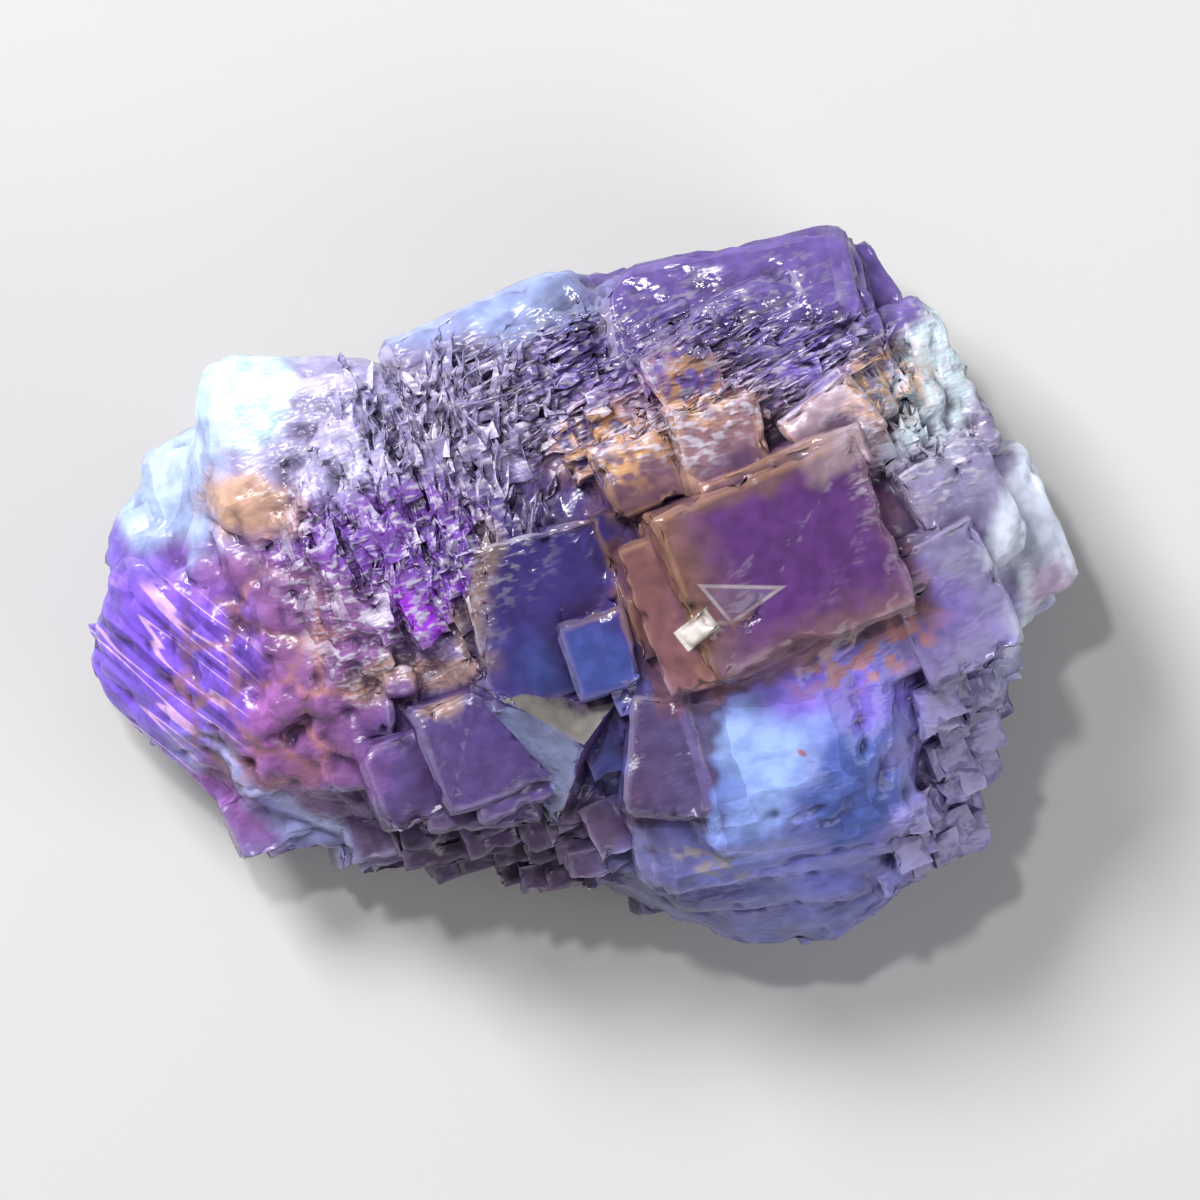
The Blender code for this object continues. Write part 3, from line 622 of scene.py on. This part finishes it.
def stone_material():
    """Fluorite: zoned purple, blue and brown, glassy in places and frosted by small crystals in others; with painted
    highlights, glow and shade.
    """
    material = bpy.data.materials.new("fluorite")
    material.use_nodes = True
    t = Tree(material.node_tree)
    shader = material.node_tree.nodes["Principled BSDF"]
    spot = t.add("ShaderNodeTexCoord").outputs
    where = t.add("ShaderNodeVectorMath", {0: spot["Object"], "Scale": 1000.0}, operation="SCALE").outputs[0]
    height = t.add("ShaderNodeSeparateXYZ", {0: where}).outputs["Z"]
    tone = t.attribute("tone")

    def clouds(scale, detail, vector=where):
        return t.add("ShaderNodeTexNoise", {"Vector": vector, "Scale": scale, "Detail": detail}).outputs

    apart = t.vector("SUBTRACT", clouds(0.8, 0.0)["Color"], (0.5, 0.5, 0.5))
    plan = Plan(t, t.vector("ADD", where, t.vector("MULTIPLY", apart, (1.5, 1.5, 1.5))))
    zones = t.add("ShaderNodeAttribute", attribute_name="zones").outputs["Color"]
    crisp = plan.colour(zones, CRISP_ZONES)
    cloudy = clouds(0.9, 1.0)["Fac"]
    patches = t.ramp(cloudy, 0.42, 0.56)
    for stain in STAINS.values():
        crisp = t.mix(t.math("MULTIPLY", plan.mask(stain), patches), crisp, linear(stain.colour))
    colour = t.mix(t.attribute("outward"), zones, crisp)
    grain = t.attribute("grain")
    clear = t.attribute("clear")
    lattice = t.add("ShaderNodeVectorRotate", {"Vector": where, "Rotation": (0.3, -0.2, -math.radians(TURN))},
                    rotation_type="EULER_XYZ").outputs[0]
    cells = t.add("ShaderNodeTexWhiteNoise", {"Vector": t.vector("SNAP", lattice, SPARKLE_CELL)}).outputs
    fine = clouds(2.4, 1.0, t.vector("MULTIPLY", lattice, (0.4, 1.0, 1.0)))["Fac"]

    normal = spot["Normal"]
    straight = Plan(t, where)
    near_twin = t.math("MULTIPLY", straight.mask(TWIN_CORNER), t.ramp(height, 17.0, 18.0))
    for facet in TWIN_FACETS.values():
        faces = t.ramp(t.vector("DOT_PRODUCT", normal, Vector(facet.way).normalized()), 0.9, 0.95)
        colour = t.mix(t.math("MULTIPLY", near_twin, faces), colour, linear(facet.colour))
    inside = straight.inside(TRIANGLE)
    shown = t.ramp(height, 24.0, 25.0)
    colour = t.mix(t.math("MULTIPLY", shown, t.ramp(inside, -0.06, 0.06, 0.0, 0.4)), colour, linear(TRIANGLE_FILL))
    edge = t.ramp(t.math("ABSOLUTE", t.math("SUBTRACT", inside, 0.12)), 0.16, 0.06, 0.0, 0.7)
    colour = t.mix(t.math("MULTIPLY", shown, edge), colour, linear(TRIANGLE_EDGE))
    # Painted highlight: a small near-white glint drawn over the colour.
    chip = t.math("MULTIPLY", t.ramp(height, 18.0, 19.0), straight.mask(PAINTED_GLINT))
    colour = t.mix(chip, colour, linear(PAINTED_GLINT.colour))

    tip = t.attribute("tip")
    along = t.vector("MULTIPLY", straight.at(LEFT_TIP.turn), STREAK_SCALE)
    streaks = clouds(1.0, 1.0, along)["Fac"]
    colour = t.mix(t.math("MULTIPLY", tip, t.ramp(streaks, 0.43, 0.35, 0.0, 0.75)), colour, linear(TIP_DARK))
    thin = t.ramp(t.math("ABSOLUTE", t.math("SUBTRACT", streaks, 0.52)), 0.028, 0.01, 0.0, 0.8)
    colour = t.mix(t.math("MULTIPLY", tip, thin), colour, linear(TIP_STREAK))

    rim = t.attribute("rim")
    ragged = t.math("ADD", rim, t.math("MULTIPLY", cloudy, 0.5))
    brown = t.attribute("brown")
    strength = t.math("ADD", 0.2, t.math("MULTIPLY", brown, 0.36))
    rim_share = t.math("MULTIPLY", t.ramp(ragged, 0.6, 0.26), t.math("SUBTRACT", strength, t.math("MULTIPLY", grain, 0.2)))
    rim_colour = t.mix(brown, linear(PALE_RIM), linear(BROWN_RIM))
    colour = t.mix(rim_share, colour, rim_colour)
    colour = t.mix(t.math("MULTIPLY", t.attribute("seam"), 0.8), colour, linear(SEAM_COLOUR))

    # Painted highlight: in the grainy places, faces turned towards the key light are made paler, on top of the frost
    # of the etched texture.
    faces_key_light = t.vector("DOT_PRODUCT", normal, Vector((-0.5, 0.35, 0.8)).normalized())
    etched = t.ramp(fine, 0.5, 0.68)
    pale = t.math("MAXIMUM", t.math("MULTIPLY", t.ramp(faces_key_light, 0.6, 0.95), t.ramp(tone, 0.3, 0.9)), etched)
    pale = t.math("MULTIPLY", pale, t.math("MULTIPLY", grain, 0.8))
    colour = t.mix(pale, colour, linear(FROST_AND_HIGHLIGHT_COLOUR))
    # Painted shade: hollows, where the surface lies below the surface around it, are darkened.
    dark = t.ramp(t.attribute("proud"), 0.15, -0.5, 0.0, 0.8)
    colour = t.mix(dark, colour, linear(CREVICE_SHADE_COLOUR))
    value = t.math("MULTIPLY", t.ramp(tone, 0.0, 1.0, 0.85, 1.35), t.ramp(cloudy, 0.3, 0.7, 0.82, 1.2))
    colour = t.add("ShaderNodeVectorMath", {0: colour, "Scale": value}, operation="SCALE").outputs[0]
    colour = t.add("ShaderNodeGamma", {"Color": colour, "Gamma": PALENESS}).outputs[0]

    rough = t.math("ADD", 0.16, t.math("MULTIPLY", cloudy, 0.2))
    roughness = t.math("SUBTRACT", rough, t.math("MULTIPLY", clear, 0.14), clamp=True)
    glassy = t.ramp(clear, 0.0, 1.0, 0.16, 0.56)

    tilt = t.vector("SUBTRACT", cells["Color"], (0.5, 0.5, 0.5))
    tilt = t.add("ShaderNodeVectorMath", {0: tilt, "Scale": t.ramp(grain, 0.0, 1.0, 0.03, 0.4)},
                 operation="SCALE").outputs[0]
    tilted = t.vector("NORMALIZE", t.vector("ADD", t.add("ShaderNodeNewGeometry").outputs["Normal"], tilt))
    depth = t.math("SUBTRACT", t.ramp(grain, 0.0, 1.0, 0.25, 0.8), t.math("MULTIPLY", clear, 0.2), clamp=True)
    bump = t.add("ShaderNodeBump", {"Height": fine, "Strength": depth, "Distance": 0.3 * MM, "Normal": tilted})

    for name, value in (("Base Color", colour), ("Roughness", roughness), ("Transmission Weight", glassy),
                        ("Normal", bump.outputs[0])):
        material.node_tree.links.new(value, shader.inputs[name])
    shader.inputs["IOR"].default_value = IOR_FLUORITE
    inside = t.add("ShaderNodeVolumeAbsorption", {"Color": (*ABSORBED_COLOUR, 1.0), "Density": ABSORPTION_PER_METRE})
    output = next(node for node in material.node_tree.nodes if node.type == "OUTPUT_MATERIAL")
    material.node_tree.links.new(inside.outputs[0], output.inputs["Volume"])
    return material


def add_floor():
    bpy.ops.mesh.primitive_plane_add(size=3.0, location=(0.0, 0.0, -0.0001))
    floor = bpy.context.object
    floor.name = "floor"
    material = bpy.data.materials.new("pale floor")
    material.use_nodes = True
    shader = material.node_tree.nodes["Principled BSDF"]
    shader.inputs["Base Color"].default_value = (0.52, 0.52, 0.51, 1.0)
    shader.inputs["Roughness"].default_value = 0.8
    floor.data.materials.append(material)


def add_light(name, place, size, power):
    light = bpy.data.lights.new(name, "AREA")
    light.energy = power
    light.size = size
    lamp = bpy.data.objects.new(name, light)
    lamp.location = place
    lamp.rotation_euler = (Vector((0.0, 0.0, 0.015)) - Vector(place)).to_track_quat("-Z", "Y").to_euler()
    bpy.context.scene.collection.objects.link(lamp)


def add_lights():
    add_light("key", (-0.35, 0.4, 0.6), 0.26, 8.0)
    add_light("fill", (0.5, -0.25, 0.4), 0.4, 1.6)
    add_light("spark", (-0.12, 0.2, 0.7), 0.04, 1.6)
    world = bpy.data.worlds.new("studio")
    bpy.context.scene.world = world
    world.use_nodes = True
    world.node_tree.nodes["Background"].inputs["Color"].default_value = (1.0, 0.98, 1.0, 1.0)
    world.node_tree.nodes["Background"].inputs["Strength"].default_value = 0.24


def set_colours():
    """Shows colours as they are, as the photograph does, and follows light through the stone a few times only."""
    scene = bpy.context.scene
    scene.view_settings.view_transform = "Standard"
    scene.cycles.max_bounces = 5
    scene.cycles.diffuse_bounces = 2
    scene.cycles.glossy_bounces = 2
    scene.cycles.transmission_bounces = 4


def add_camera():
    """Straight above the specimen, where the photograph was taken from, with its top towards +Y."""
    data = bpy.data.cameras.new("camera")
    data.sensor_width = SENSOR_WIDTH
    data.lens = SENSOR_WIDTH * CAMERA_DISTANCE / (PHOTO_PIXELS * MM_PER_PIXEL)
    camera = bpy.data.objects.new("camera", data)
    camera.location = Vector((*VIEW_MIDDLE, RIM_HEIGHT + CAMERA_DISTANCE)) * MM
    bpy.context.scene.collection.objects.link(camera)
    bpy.context.scene.camera = camera


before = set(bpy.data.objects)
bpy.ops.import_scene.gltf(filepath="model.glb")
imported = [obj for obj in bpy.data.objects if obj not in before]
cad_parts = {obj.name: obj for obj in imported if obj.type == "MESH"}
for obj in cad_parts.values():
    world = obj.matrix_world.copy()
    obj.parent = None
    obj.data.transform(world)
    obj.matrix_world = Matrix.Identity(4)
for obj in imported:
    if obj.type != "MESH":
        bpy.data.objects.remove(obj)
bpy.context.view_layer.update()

stone = stone_material()
surface = grow_surface(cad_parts[NODE], stone)
print("triangles", sum(len(p.vertices) - 2 for p in surface.data.polygons))
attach(surface, "root")
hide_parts(NODE)
add_floor()
add_lights()
add_camera()
set_colours()
